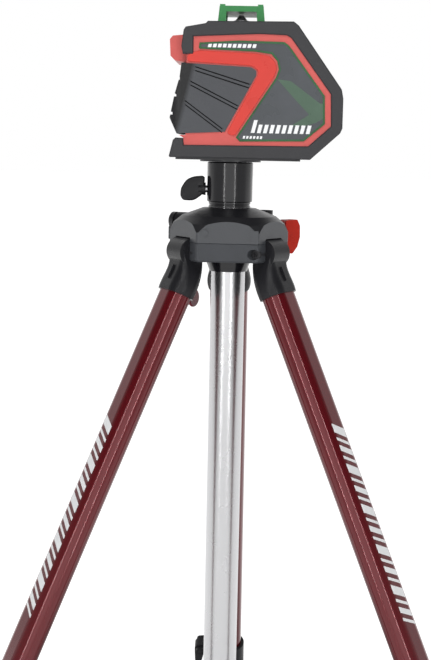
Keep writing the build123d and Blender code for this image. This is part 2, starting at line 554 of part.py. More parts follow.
# ---------------------------------------------------------------- laser
BUMPER_OUTSIDE = [(-41, 0.8), (-40.4, 0), (54.3, 0), (74, 18), (75.4, 21.3), (75.4, 41),
                  (74.2, 47), (44.3, 88.5), (41, 91), (-16.2, 90.5), (-17.6, 89),
                  (-31, 86.5), (-32.3, 84.5), (-33.7, 73.8), (-32.6, 68.8)]
BUMPER_INSIDE = [(-25.6, 68.6), (-25.6, 80.3), (18, 82.5), (36.5, 82), (39.8, 80),
                 (67, 43.8), (67.7, 22.5), (52.7, 9), (-31, 8.4), (-31.4, 13), (-36.6, 13.2),
                 (-38.4, 11.5)]
CORE = [(-30, 3), (53, 3), (72.2, 20.5), (72.2, 41), (71.2, 46), (42, 85.8), (39.6, 87.8),
        (-15.5, 87.4), (-30, 84)]
PANEL = BUMPER_INSIDE[1:9] + [(-31.4, 13.2), (-36, 15.9), (-30, 64), (-30, 68.6),
                              (-25.6, 68.6)]
CAVITY = [(-27.5, 5.2), (52, 5.2), (70, 21.6), (70, 41), (69, 45), (40.8, 83.6), (38.6, 85.4),
          (-15, 85), (-27.5, 82)]
NOSE = [(-29, 63.2), (-38.5, 65), (-41.4, 67.8), (-42, 78.8), (-40, 81.2), (-29, 82.3)]
LABEL = [(-22, 73), (-21.5, 76.3), (5, 78), (35, 77.5), (38.3, 75.2), (63, 42.6), (63.6, 24),
         (49.7, 12.2), (6.6, 11.3), (4.0, 14), (29.9, 54), (31.8, 59.5), (30.6, 65),
         (26.6, 69.4), (16.6, 70.8), (-21.4, 72.2)]
GRIP = [(-33.4, 62.9), (13.2, 60.6), (16.8, 58.4), (16.9, 55.4), (-3.5, 17.6), (-36, 15.9),
        (-41.1, 26.5), (-37.9, 41.7), (-34.6, 53.2)]
GRIP_RIBS = [((-24.5, 59.2), (12.7, 48)), ((-27.5, 49.6), (5.3, 33.5)),
             ((-31, 36.8), (-4.9, 18))]
BACK_RIBS = (29.5, 41.5, 52.5)
BACK_RIB_HALF, BACK_RIB_FLOOR, BACK_RIB_SLOPE = 1.0, -39.0, 0.2
RIB_GAP, RIB_CUT, RIB_DEPTH = 2.5, 0.9, 0.7
CAGE = [(-10.4, 88), (-9.0, 102), (20.6, 102), (22, 88)]
CAGE_SIDE_OPENING = [(-5.6, 80), (-4.4, 98.2), (16, 98.2), (17.2, 80)]
CAGE_HALF, CAGE_END_OPENING = 20.0, 15.0
GLASS_OUTSIDE = [(42.7, 87.3), (72.9, 45.8), (73.4, 40.8), (73.4, 21.5)]
GLASS_INSIDE = [(71.4, 21.5), (71.4, 40.6), (70.9, 45), (41.4, 85.5)]
WINDOW_OPENING = GLASS_INSIDE[::-1] + [(90, 21.5), (90, 95), (48, 95)]
WINDOW_HALF = 16.0
STUD_HOLE = 3.6
SWITCH_START, SWITCH_TRAVEL, SWITCH_HEIGHT = 12.0, 6.0, 4.3
BUTTON_X, BUTTON_RADIUS = 33.0, 5.0
RECESS_HALF = 30.4           # floor of the grip's recess in each side panel
HOUSING_WALL = 2.2
GIMBAL_PIN, GIMBAL_OUTER, GIMBAL_INNER, GIMBAL_HALF = 1.5, 13.5, 10.5, 2.5
WEB_INNER, WEB_THICKNESS, WEB_HALF = 15.0, 3.0, 6.0


def both_sides(points, half, mode=Mode.ADD):
    return extrude(outline(SIDE_VIEW, points), amount=half, both=True, mode=mode)


def laser_box(low, high, mode=Mode.ADD):
    """A block between two corners, in the laser's x, depth and height."""
    middle = Vector(*[(a + b) / 2 for a, b in zip(low, high)])
    with Locations(AXIS + Vector(0, 0, LASER_BOTTOM) + middle):
        return Box(*[b - a for a, b in zip(low, high)], mode=mode)


def upright(x, height):
    """A level plane at a place along the laser and a height above its underside."""
    return Plane(origin=AXIS + Vector(x, 0, LASER_BOTTOM + height))


def gimbal_plane(direction, drop=0.0):
    """Square to a direction, at the gimbal's middle or straight below it."""
    origin = AXIS + Vector(PRISM_X, 0, LASER_BOTTOM + GIMBAL_HEIGHT - drop)
    return Plane(origin=origin, z_dir=direction)


with BuildPart() as bumper:
    both_sides(BUMPER_OUTSIDE + BUMPER_INSIDE, HALF_WIDTH)
    rims = bumper.faces().sort_by(Axis.Y)
    chamfer(rims[0].edges() + rims[-1].edges(), 0.7)
    both_sides(CORE, CORE_HALF, Mode.SUBTRACT)
    both_sides(NOSE, CORE_HALF, Mode.SUBTRACT)
    both_sides(WINDOW_OPENING, WINDOW_HALF, Mode.SUBTRACT)
    laser_box((-10.6, -CAGE_HALF, 80), (22.2, CAGE_HALF, 95), Mode.SUBTRACT)
    extrude(disc(upright(0, -1), STUD_HOLE), amount=6, mode=Mode.SUBTRACT)
    extrude(disc(upright(BUTTON_X, 80), BUTTON_RADIUS + 0.3), amount=20, mode=Mode.SUBTRACT)
    laser_box((SWITCH_START - 1, HALF_WIDTH - 2.4, SWITCH_HEIGHT - 2.6),
              (SWITCH_START + SWITCH_TRAVEL + 9, HALF_WIDTH + 1, SWITCH_HEIGHT + 2.6),
              Mode.SUBTRACT)
save(bumper, "bumper")

with BuildPart() as housing:
    both_sides(CORE, CORE_HALF)
    both_sides(PANEL, PANEL_HALF)
    both_sides(NOSE, 25.0)
    both_sides(CAVITY, CORE_HALF - HOUSING_WALL, Mode.SUBTRACT)
    inside = CORE_HALF - HOUSING_WALL
    for x in (PRISM_X - WEB_INNER - WEB_THICKNESS, PRISM_X + WEB_INNER):
        laser_box((x, -inside, GIMBAL_HEIGHT - WEB_HALF),
                  (x + WEB_THICKNESS, inside, GIMBAL_HEIGHT + WEB_HALF))
    for side in (-1, 1):
        recess = outline(SIDE_VIEW.offset(side * RECESS_HALF), GRIP)
        extrude(recess, amount=side * 10, mode=Mode.SUBTRACT)
    laser_box((-45, -40, 15), (-30, 40, 63), Mode.SUBTRACT)
    both_sides(WINDOW_OPENING, WINDOW_HALF, Mode.SUBTRACT)
    extrude(disc(upright(0, 1), STUD_HOLE), amount=6, mode=Mode.SUBTRACT)
    extrude(disc(upright(PRISM_X, 80), 9), amount=10, mode=Mode.SUBTRACT)
    extrude(disc(gimbal_plane((1, 0, 0)), GIMBAL_PIN + RUNNING), amount=20, both=True,
            mode=Mode.SUBTRACT)

with BuildPart() as housing_near:
    add(housing.part)
    split(bisect_by=HALF_SECTION, keep=Keep.TOP)
save(housing_near, "housing_near")

with BuildPart() as housing_far:
    add(housing.part)
    split(bisect_by=HALF_SECTION, keep=Keep.BOTTOM)
save(housing_far, "housing_far")

with BuildPart() as rear_grip:
    both_sides(GRIP, GRIP_HALF)
    with BuildSketch(Plane(origin=AXIS + Vector(8, 0, LASER_BOTTOM))) as plan:
        RectangleRounded(100, 2 * GRIP_HALF, 8)
    extrude(amount=70, mode=Mode.INTERSECT)
    laser_box((-30, -RECESS_HALF, 0), (80, RECESS_HALF, 70), Mode.SUBTRACT)
    for start, end in GRIP_RIBS:
        length = hypot(end[0] - start[0], end[1] - start[1])
        angle = degrees(atan2(end[1] - start[1], end[0] - start[0]))
        middle = ((start[0] + end[0]) / 2, (start[1] + end[1]) / 2)
        for side in (-1, 1):
            with BuildSketch(SIDE_VIEW.offset(side * (GRIP_HALF - RIB_DEPTH))):
                for shift in (-RIB_GAP / 2, RIB_GAP / 2):
                    with Locations((middle[0], middle[1] + shift)):
                        SlotOverall(length, RIB_CUT, rotation=angle)
            extrude(amount=side * 5, mode=Mode.SUBTRACT)
    for height in BACK_RIBS:
        floor = BACK_RIB_FLOOR + (height - BACK_RIBS[0]) * BACK_RIB_SLOPE
        laser_box((-60, -HALF_WIDTH, height - BACK_RIB_HALF),
                  (floor, HALF_WIDTH, height + BACK_RIB_HALF), Mode.SUBTRACT)
save(rear_grip, "rear_grip")

with BuildPart() as side_labels:
    for side in (-1, 1):
        extrude(outline(SIDE_VIEW.offset(side * PANEL_HALF), LABEL), amount=side * 0.5)
save(side_labels, "side_labels")

with BuildPart() as base_plate:
    laser_box((-37, -28, PLATFORM_TOP - LASER_BOTTOM), (48, 28, 0))
    chamfer(base_plate.edges().filter_by(Axis.Z), 4)
    extrude(disc(COLUMN.offset(PLATFORM_TOP - 1), STUD_RADIUS), amount=5, mode=Mode.SUBTRACT)
save(base_plate, "base_plate")

with BuildPart() as prism_cage:
    both_sides(CAGE, CAGE_HALF)
    for x in (-7.0, 18.6):
        for y in (-CAGE_HALF + 2, CAGE_HALF - 2):
            laser_box((x - 1.8, y - 2, 101), (x + 1.8, y + 2, 103))
    both_sides(CAGE_SIDE_OPENING, 60, Mode.SUBTRACT)
    laser_box((-30, -CAGE_END_OPENING, 80), (50, CAGE_END_OPENING, 98.2), Mode.SUBTRACT)
save(prism_cage, "prism_cage")

with BuildPart() as front_window:
    both_sides(GLASS_OUTSIDE + GLASS_INSIDE, WINDOW_HALF)
save(front_window, "front_window")

with BuildPart() as battery_pack:
    laser_box((-27.5, -20, 5.2), (-16, 20, 50))
    chamfer(battery_pack.edges().filter_by(Axis.Z), 2)
save(battery_pack, "battery_pack")

with BuildPart() as gimbal_ring:
    ring_bottom = upright(PRISM_X, GIMBAL_HEIGHT - GIMBAL_HALF)
    extrude(disc(ring_bottom, GIMBAL_OUTER), amount=2 * GIMBAL_HALF)
    extrude(disc(ring_bottom, GIMBAL_INNER), amount=2 * GIMBAL_HALF, mode=Mode.SUBTRACT)
    for side in (-1, 1):
        extrude(disc(gimbal_plane((side, 0, 0)).offset(GIMBAL_INNER + 1.5), GIMBAL_PIN),
                amount=5.6)
    extrude(disc(gimbal_plane((0, 1, 0)), GIMBAL_PIN + RUNNING), amount=20, both=True,
            mode=Mode.SUBTRACT)
save(gimbal_ring, "gimbal_ring")

BOB_BOTTOM, BOB_RADIUS, BOB_HEIGHT = 16.0, 12.0, 12.0
STEM_RADIUS, STEM_TOP, SEAT_RADIUS, SEAT_TOP = 5.5, 88.0, 5.0, 94.0
FRONT_DIODE_DROP, SIDE_DIODE_DROP, DIODE_RADIUS = 30.0, 17.0, 5.0
with BuildPart() as pendulum_frame:
    extrude(disc(upright(PRISM_X, BOB_BOTTOM), BOB_RADIUS), amount=BOB_HEIGHT)
    extrude(disc(upright(PRISM_X, BOB_BOTTOM + 8), STEM_RADIUS),
            amount=STEM_TOP - BOB_BOTTOM - 8)
    extrude(disc(upright(PRISM_X, STEM_TOP), SEAT_RADIUS), amount=SEAT_TOP - STEM_TOP)
    extrude(disc(gimbal_plane((0, 1, 0)), GIMBAL_PIN), amount=GIMBAL_OUTER - 0.1, both=True)
    extrude(disc(gimbal_plane((1, 0, 0), FRONT_DIODE_DROP).offset(-14), DIODE_RADIUS),
            amount=46)
    extrude(disc(gimbal_plane((0, 1, 0), SIDE_DIODE_DROP), DIODE_RADIUS), amount=19, both=True)
save(pendulum_frame, "pendulum_frame")

PRISM_HEIGHT, PRISM_BASE, PRISM_TIP = 3.6, 4.2, 1.6
with BuildPart() as prism:
    with Locations(upright(PRISM_X, SEAT_TOP + PRISM_HEIGHT / 2).origin):
        Cone(PRISM_BASE, PRISM_TIP, PRISM_HEIGHT)
save(prism, "prism")

with BuildPart() as power_switch:
    laser_box((SWITCH_START, HALF_WIDTH - 2.1, SWITCH_HEIGHT - 2.2),
              (SWITCH_START + 8, HALF_WIDTH + 1.2, SWITCH_HEIGHT + 2.2))
    chamfer(power_switch.faces().sort_by(Axis.Y)[-1].edges(), 0.6)
save(power_switch, "power_switch")

with BuildPart() as mode_button:
    extrude(disc(upright(BUTTON_X, 88.8), BUTTON_RADIUS), amount=3.4)
    fillet(mode_button.edges().sort_by(Axis.Z)[-1], 0.8)
save(mode_button, "mode_button")
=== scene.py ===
import bpy
import bmesh
import json
from math import cos, radians, sin
from mathutils import Matrix, Vector


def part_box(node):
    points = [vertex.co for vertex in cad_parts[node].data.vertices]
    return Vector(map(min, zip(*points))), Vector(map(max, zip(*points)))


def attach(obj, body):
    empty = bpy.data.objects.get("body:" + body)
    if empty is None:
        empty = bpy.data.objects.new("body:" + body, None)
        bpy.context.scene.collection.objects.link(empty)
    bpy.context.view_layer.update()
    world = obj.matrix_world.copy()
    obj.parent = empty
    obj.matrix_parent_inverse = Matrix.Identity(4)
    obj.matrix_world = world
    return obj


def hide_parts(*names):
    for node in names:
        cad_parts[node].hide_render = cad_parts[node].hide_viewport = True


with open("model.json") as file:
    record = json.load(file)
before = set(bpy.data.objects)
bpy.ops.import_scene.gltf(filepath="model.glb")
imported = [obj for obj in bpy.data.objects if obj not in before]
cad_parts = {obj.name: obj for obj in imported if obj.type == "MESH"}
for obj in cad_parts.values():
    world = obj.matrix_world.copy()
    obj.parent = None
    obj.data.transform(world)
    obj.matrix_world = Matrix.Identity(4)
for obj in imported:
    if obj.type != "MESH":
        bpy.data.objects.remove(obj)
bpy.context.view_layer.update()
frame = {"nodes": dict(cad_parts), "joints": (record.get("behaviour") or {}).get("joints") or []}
MM = 0.001

# ---------------------------------------------------------------- reference places
column_low, column_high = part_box("column_tube")
HUB_TOP = 17 * MM            # hub's top face above the level that the other heights count from
AXIS = Vector(((column_low.x + column_high.x) / 2, (column_low.y + column_high.y) / 2,
               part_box("hub_upper")[1].z - HUB_TOP))
LASER_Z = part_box("bumper")[0].z
LEGS = {"rear": 90, "left": 210, "right": 330}
BACK_SLOPE = 0.24            # lean of the laser's ridged back edge


# ---------------------------------------------------------------- material helpers
def new_material(name):
    material = bpy.data.materials.new(name)
    material.use_nodes = True
    nodes = material.node_tree.nodes
    return material, nodes, material.node_tree.links, nodes["Principled BSDF"]


def coordinates(nodes, links, stretch=(1, 1, 1)):
    """Object coordinates, so that a pattern stays with its piece as the piece moves."""
    place = nodes.new("ShaderNodeTexCoord")
    mapping = nodes.new("ShaderNodeMapping")
    mapping.inputs["Scale"].default_value = stretch
    links.new(place.outputs["Object"], mapping.inputs["Vector"])
    return mapping.outputs["Vector"]


def noise(nodes, links, vector, scale, detail):
    texture = nodes.new("ShaderNodeTexNoise")
    texture.inputs["Scale"].default_value = scale
    texture.inputs["Detail"].default_value = detail
    texture.inputs["Roughness"].default_value = 0.6
    links.new(vector, texture.inputs["Vector"])
    return texture.outputs["Fac"]


def ramp(nodes, links, value, stops):
    node = nodes.new("ShaderNodeValToRGB")
    while len(node.color_ramp.elements) < len(stops):
        node.color_ramp.elements.new(0.5)
    for element, (position, color) in zip(node.color_ramp.elements, stops):
        element.position = position
        element.color = (*color, 1)
    links.new(value, node.inputs["Fac"])
    return node.outputs["Color"]


def spread(nodes, links, value, low, high, start=0.3, end=0.7):
    """From low to high as the value goes from start to end."""
    node = nodes.new("ShaderNodeMapRange")
    node.inputs["From Min"].default_value = start
    node.inputs["From Max"].default_value = end
    node.inputs["To Min"].default_value = low
    node.inputs["To Max"].default_value = high
    links.new(value, node.inputs["Value"])
    return node.outputs["Result"]


def soft_spread(nodes, links, value, high, start_end):
    """From nothing up to high between the two values, easing in and out."""
    node = nodes.new("ShaderNodeMapRange")
    node.interpolation_type = "SMOOTHSTEP"
    node.inputs["From Min"].default_value, node.inputs["From Max"].default_value = start_end
    node.inputs["To Min"].default_value, node.inputs["To Max"].default_value = 0, high
    links.new(value, node.inputs["Value"])
    return node.outputs["Result"]


def shade(color, factor):
    return tuple(min(1.0, c * factor) for c in color)


def bump(nodes, links, shader, height, strength, distance=0.0004):
    node = nodes.new("ShaderNodeBump")
    node.inputs["Strength"].default_value = strength
    node.inputs["Distance"].default_value = distance
    links.new(height, node.inputs["Height"])
    links.new(node.outputs["Normal"], shader.inputs["Normal"])


def moulded(name, color, roughness=0.42, grain=2600.0, depth=0.12, vary=0.12, coat=0.0,
            specular=0.25, dust=0.0):
    """Moulded plastic or rubber: fine spark-eroded grain, uneven gloss and faint handling."""
    material, nodes, links, shader = new_material(name)
    vector = coordinates(nodes, links)
    broad = noise(nodes, links, vector, 38, 5)
    fine = noise(nodes, links, vector, grain, 2)
    tones = [(0.3, shade(color, 1 - vary)), (0.72, shade(color, 1 + vary))]
    links.new(ramp(nodes, links, broad, tones), shader.inputs["Base Color"])
    links.new(spread(nodes, links, broad, roughness - 0.06, roughness + 0.08 + dust),
              shader.inputs["Roughness"])
    shader.inputs["Specular IOR Level"].default_value = specular
    shader.inputs["Coat Weight"].default_value = coat
    shader.inputs["Coat Roughness"].default_value = 0.12
    bump(nodes, links, shader, fine, depth)
    return material


def metal(name, color, roughness=0.3, stretch=(1, 1, 1), metallic=1.0, brush=900.0,
          depth=0.06, coat=0.0, vary=0.08, patchy=0.05):
    """Drawn or turned metal: fine lines along one direction and patchy polish."""
    material, nodes, links, shader = new_material(name)
    lines = noise(nodes, links, coordinates(nodes, links, stretch), brush, 3)
    broad = noise(nodes, links, coordinates(nodes, links), 30, 4)
    tones = [(0.25, shade(color, 1 - vary)), (0.75, shade(color, 1 + vary))]
    links.new(ramp(nodes, links, lines, tones), shader.inputs["Base Color"])
    links.new(spread(nodes, links, broad, roughness - patchy, roughness + patchy),
              shader.inputs["Roughness"])
    shader.inputs["Metallic"].default_value = metallic
    shader.inputs["Coat Weight"].default_value = coat
    shader.inputs["Coat Roughness"].default_value = 0.04
    bump(nodes, links, shader, lines, depth, 0.0002)
    return material


def glass(name, color, alpha=0.35):
    """Clear or tinted glass with faint smears; alpha is the share that doesn't let light pass."""
    material, nodes, links, shader = new_material(name)
    smear = noise(nodes, links, coordinates(nodes, links), 90, 4)
    links.new(ramp(nodes, links, smear, [(0.3, color), (0.8, shade(color, 1.15))]),
              shader.inputs["Base Color"])
    links.new(spread(nodes, links, smear, 0.04, 0.12), shader.inputs["Roughness"])
    shader.inputs["Transmission Weight"].default_value = 1.0 - alpha
    shader.inputs["IOR"].default_value = 1.5
    return material


def dress(node, material):
    """Gives a carried-over CAD node its finished material."""
    mesh = frame["nodes"][node].data
    for number in range(max(1, len(mesh.materials))):
        if number < len(mesh.materials):
            mesh.materials[number] = material
        else:
            mesh.materials.append(material)


# ---------------------------------------------------------------- materials
HUB_BLACK = moulded("hub black", (0.012, 0.012, 0.014), 0.36, vary=0.2, depth=0.2)
HUB_GREY = moulded("hub satin", (0.045, 0.048, 0.054), 0.38, vary=0.12, depth=0.2)
GLOSS_BLACK = moulded("gloss black", (0.006, 0.006, 0.008), 0.16, depth=0.03, coat=0.5)
CASTING = moulded("leg casting", (0.010, 0.010, 0.012), 0.30, depth=0.16, vary=0.2)
CLAMP = moulded("clamp nylon", (0.016, 0.016, 0.018), 0.4, depth=0.22, vary=0.2)
LEVER_BLACK = moulded("flip lever", (0.028, 0.028, 0.031), 0.34, depth=0.15, vary=0.15)
FOOT = moulded("foot rubber", (0.014, 0.014, 0.015), 0.62, grain=1500, depth=0.4, dust=0.12)
BUMPER = moulded("bumper rubber", (0.030, 0.030, 0.033), 0.5, grain=2200, depth=0.3,
                 specular=0.35)
RED_HOUSING = moulded("housing red", (0.56, 0.10, 0.09), 0.38, depth=0.12, vary=0.07)
RED_BAND = moulded("band red", (0.60, 0.048, 0.036), 0.32, depth=0.10, vary=0.06)
LEVER_RED = moulded("lever red", (0.50, 0.018, 0.006), 0.32, depth=0.1, vary=0.1)
# The crank knob's red is darkened with painted shade, for the shade it sits in.
KNOB_SHADED_RED = moulded("crank knob red with painted shade", (0.16, 0.006, 0.018), 0.28, depth=0.1, vary=0.15, coat=0.3)
CAGE_GREEN = moulded("cage green", (0.045, 0.24, 0.075), 0.32, depth=0.12, vary=0.12)
SWITCH = moulded("switch black", (0.02, 0.02, 0.02), 0.45, depth=0.2)
BUTTON = moulded("button rubber", (0.07, 0.07, 0.075), 0.5, depth=0.3)
WHITE_PRINT = moulded("white print", (0.78, 0.79, 0.80), 0.4, depth=0.05, vary=0.04)
CHEVRON = moulded("chevron print", (0.075, 0.125, 0.088), 0.3, depth=0.05, vary=0.14)
LABEL_EDGE = moulded("label border", (0.030, 0.105, 0.040), 0.3, depth=0.05, vary=0.2)
# Painted shade for the floors of the grip's grooves.
GROOVE_PAINTED_SHADE = moulded("groove shadow", (0.006, 0.006, 0.007), 0.6, depth=0.1, specular=0.2)
STEEL = metal("fastener steel", (0.55, 0.55, 0.57), 0.28, brush=1800)
COLUMN = metal("column aluminium", (0.56, 0.56, 0.57), 0.27, stretch=(1, 1, 0.02), brush=1600,
               depth=0.012, vary=0.03, patchy=0.012)
INNER_TUBE = metal("inner leg aluminium", (0.62, 0.62, 0.64), 0.3, stretch=(1, 1, 0.05),
                   brush=1400, depth=0.05)
DARK_METAL = metal("painted metal", (0.03, 0.03, 0.033), 0.34, metallic=0.2, depth=0.1)
GIMBAL = metal("gimbal alloy", (0.55, 0.55, 0.56), 0.3)
PENDULUM = metal("pendulum", (0.20, 0.20, 0.21), 0.4)
WINDOW = glass("window glass", (0.70, 0.80, 0.78))
PRISM = glass("prism glass", (0.95, 0.97, 0.97), alpha=0.1)
BUBBLE = glass("bubble fluid", (0.45, 0.75, 0.12), alpha=0.4)
LEG_RED = metal("leg anodised red", (0.115, 0.002, 0.006), 0.15, stretch=(1, 1, 0.04),
                metallic=0.35, brush=1500, depth=0.03, coat=0.35, vary=0.12, patchy=0.02)


def label_film():
    """Dark smoked film with faint cloudy patches."""
    material, nodes, links, shader = new_material("label film")
    vector = coordinates(nodes, links)
    cloud = noise(nodes, links, vector, 26, 3)
    tones = [(0.3, (0.020, 0.026, 0.030)), (0.7, (0.046, 0.052, 0.062))]
    links.new(ramp(nodes, links, cloud, tones), shader.inputs["Base Color"])
    links.new(spread(nodes, links, cloud, 0.2, 0.34), shader.inputs["Roughness"])
    shader.inputs["Coat Weight"].default_value = 0.3
    bump(nodes, links, shader, noise(nodes, links, vector, 1800, 2), 0.05)
    return material


# The grip's black towards its ridged back edge is partly a darker rubber back and partly painted
# shade where the side rolls away.
GRIP_EDGE = Vector((-41.1, 26.5))    # a point on the grip's ridged back edge, in mm
GRIP_DARK_BACK_AND_SHADE_FADE = (6.0, 9.5)               # its black turns grey between these, in mm from there


def grip_rubber():
    """Satin grey side panels that turn black towards the ridged back edge: partly a darker rubber
    back, partly painted shade where the side rolls away from the light.
    """
    material, nodes, links, shader = new_material("grip rubber")
    vector = coordinates(nodes, links)
    across = nodes.new("ShaderNodeVectorMath")
    across.operation = "DOT_PRODUCT"
    across.inputs[1].default_value = (1, 0, -BACK_SLOPE)
    links.new(vector, across.inputs[0])
    edge = AXIS.x + GRIP_EDGE.x * MM - BACK_SLOPE * (LASER_Z + GRIP_EDGE.y * MM)
    start, end = (edge + reach * MM for reach in GRIP_DARK_BACK_AND_SHADE_FADE)
    tone = spread(nodes, links, across.outputs["Value"], 0, 1, start, end)
    tones = [(0.0, (0.009, 0.009, 0.010)), (1.0, (0.058, 0.061, 0.068))]
    links.new(ramp(nodes, links, tone, tones), shader.inputs["Base Color"])
    broad = noise(nodes, links, vector, 38, 5)
    links.new(spread(nodes, links, broad, 0.38, 0.52), shader.inputs["Roughness"])
    shader.inputs["Specular IOR Level"].default_value = 0.35
    bump(nodes, links, shader, noise(nodes, links, vector, 2400, 2), 0.25)
    return material


def hub_shell():
    """The hub's dome: near-black on its slopes and satin grey on its upright facets."""
    material, nodes, links, shader = new_material("hub shell")
    vector = coordinates(nodes, links)
    facing = nodes.new("ShaderNodeNewGeometry")
    upright = nodes.new("ShaderNodeSeparateXYZ")
    links.new(facing.outputs["True Normal"], upright.inputs["Vector"])
    slope = spread(nodes, links, upright.outputs["Z"], 0, 1, 0.10, 0.30)
    tones = [(0.0, (0.046, 0.049, 0.055)), (1.0, (0.011, 0.011, 0.013))]
    links.new(ramp(nodes, links, slope, tones), shader.inputs["Base Color"])
    broad = noise(nodes, links, vector, 38, 5)
    links.new(spread(nodes, links, broad, 0.30, 0.42), shader.inputs["Roughness"])
    bump(nodes, links, shader, noise(nodes, links, vector, 2600, 2), 0.2)
    return material


FINISHES = {
    "hub_upper": hub_shell(), "hub_lower": HUB_GREY, "column_bush": GLOSS_BLACK,
    "crank_bush": HUB_BLACK, "hub_screws": STEEL, "leg_pivot_bolts": DARK_METAL,
    "bubble_housing": HUB_BLACK, "bubble_vial": BUBBLE, "column_tube": COLUMN,
    "column_rack": COLUMN, "column_end_cap": FOOT, "head_barrel": GLOSS_BLACK,
    "pinion_shaft": STEEL, "crank_arm": DARK_METAL, "crank_knob": KNOB_SHADED_RED,
    "lock_lever": LEVER_RED, "pan_platform": DARK_METAL, "base_plate": DARK_METAL,
    "bumper": BUMPER, "housing_near": RED_HOUSING, "housing_far": RED_HOUSING,
    "rear_grip": grip_rubber(), "side_labels": label_film(), "prism_cage": CAGE_GREEN,
    "front_window": WINDOW, "battery_pack": SWITCH, "pan_knob": CLAMP, "pan_screw": STEEL,
    "gimbal_ring": GIMBAL, "pendulum_frame": PENDULUM, "prism": PRISM,
    "power_switch": SWITCH, "mode_button": BUTTON}
for leg in LEGS:
    FINISHES.update({
        f"leg_{leg}_casting": CASTING, f"leg_{leg}_upper_tube": LEG_RED,
        f"leg_{leg}_upper_clamp": CLAMP, f"leg_{leg}_upper_lever": LEVER_BLACK,
        f"leg_{leg}_mid_tube": INNER_TUBE, f"leg_{leg}_lower_clamp": CLAMP,
        f"leg_{leg}_lower_lever": LEVER_BLACK, f"leg_{leg}_lower_tube": INNER_TUBE,
        f"leg_{leg}_foot": FOOT})
for node, material in FINISHES.items():
    dress(node, material)


# ---------------------------------------------------------------- mesh helpers
def add_piece(name, mesh, material, body):
    piece = bpy.data.objects.new(name, mesh)
    bpy.context.scene.collection.objects.link(piece)
    mesh.materials.append(material)
    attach(piece, body)
    return piece


def finish_mesh(bm, name, smooth=True):
    bmesh.ops.recalc_face_normals(bm, faces=bm.faces)
    mesh = bpy.data.meshes.new(name)
    bm.to_mesh(mesh)
    bm.free()
    for polygon in mesh.polygons:
        polygon.use_smooth = smooth
    return mesh


def add_plate(bm, points, inner, outer, side, bevel=0.0):
    """A closed plate on the laser's side, from its outline in x and height, in mm."""
    low = [bm.verts.new(laser_point(x, side * inner, z)) for x, z in points]
    high = [bm.verts.new(laser_point(x, side * outer, z)) for x, z in points]
    walls = [bm.faces.new([low[i - 1], low[i], high[i], high[i - 1]])
             for i in range(len(points))]
    bmesh.ops.recalc_face_normals(bm, faces=[bm.faces.new(low[::-1]), bm.faces.new(high)] + walls)
    if bevel:
        rim = [bm.edges.get((high[i - 1], high[i])) for i in range(len(points))]
        bmesh.ops.bevel(bm, geom=rim, offset=bevel * MM, segments=3, affect="EDGES",
                        profile=0.6, clamp_overlap=True)


def plates(name, outlines, inner, outer, side, bevel=0.0):
    bm = bmesh.new()
    for points in outlines:
        add_plate(bm, points, inner, outer, side, bevel)
    return finish_mesh(bm, name, smooth=False)


def border_ring(name, node, face_y, width, rise):
    """A thin raised border that runs just inside the outline of a flat CAD face."""
    bm = bmesh.new()
    bm.from_mesh(frame["nodes"][node].data)
    bmesh.ops.remove_doubles(bm, verts=bm.verts, dist=1e-6)
    others = [f for f in bm.faces if any(abs(v.co.y - face_y) > 1e-5 for v in f.verts)]
    bmesh.ops.delete(bm, geom=others, context="FACES")
    bmesh.ops.dissolve_faces(bm, faces=list(bm.faces))
    whole = list(bm.faces)
    bmesh.ops.inset_region(bm, faces=whole, thickness=width * MM, use_boundary=True,
                           use_even_offset=True)
    bmesh.ops.delete(bm, geom=whole, context="FACES")
    raised = bmesh.ops.extrude_face_region(bm, geom=list(bm.faces), use_keep_orig=True)
    outward = -1 if face_y < AXIS.y else 1
    for item in raised["geom"]:
        if isinstance(item, bmesh.types.BMVert):
            item.co.y += outward * rise * MM
    return finish_mesh(bm, name, smooth=False)


def laser_point(x, depth, height):
    """A place on the laser from mm along it, mm towards the camera and mm above its base."""
    return Vector((AXIS.x + x * MM, AXIS.y - depth * MM, LASER_Z + height * MM))


def rounded(points, radius, steps=4):
    """The same outline with each corner turned into a short arc, by quadratic blends."""
    result = []
    for i, corner in enumerate(points):
        before = Vector(points[i - 1])
        after = Vector(points[(i + 1) % len(points)])
        middle = Vector(corner)
        back, ahead = before - middle, after - middle
        reach = min(radius, back.length * 0.45, ahead.length * 0.45)
        start = middle + back.normalized() * reach
        end = middle + ahead.normalized() * reach
        for k in range(steps + 1):
            t = k / steps
            result.append(tuple(start * (1 - t) ** 2 + middle * 2 * t * (1 - t) + end * t * t))
    return result


# ---------------------------------------------------------------- laser details
PANEL, LABEL_FACE = 32.5, 33.0
BAND = [(-29.6, 68.2), (-22, 71.2), (16, 69.8), (25.6, 68.2), (29.4, 64.6), (30.7, 59.6),
        (28.8, 54.4), (3.2, 14.6), (-2.4, 16.6), (17.8, 55.2), (17.8, 58.8), (13.6, 61.5),
        (-29.6, 63.7)]
CHEVRON_SHAPE = [(31, 53), (40, 52), (60, 37.5), (63, 37.5), (63, 28), (57, 24.5), (50, 22.5),
                 (41, 22.5), (53, 30), (46, 37)]
SLANT = 0.24                 # how far a printed bar leans for each mm of its height
TALLY_ROW = (10, -16, 73.3, 3.3, 2.3, 2.4)       # count, x, height, pitch, bar width, bar height
METER_ROW = (10, 14, 17.2, 4.1, 2.5, 5.6)
TICK_ROW = (6, 8.6, 13.3, 2.3, 1.4, 1.8)
METER_FIRST_HEIGHT = 8.6
BORDER_WIDTH, BORDER_RISE, SUNK = 1.3, 0.12, 0.1
# Slim strips of painted shade run along the floors of the grip's grooves.
GROOVE_FLOOR, GROOVE_HALF, GROOVE_GAP = 32.5, 0.4, 1.25
GRIP_GROOVES = [((-24, 59.0), (12.2, 48.2)), ((-27, 49.4), (4.8, 33.8)),
                ((-30.4, 36.4), (-5.3, 18.3))]


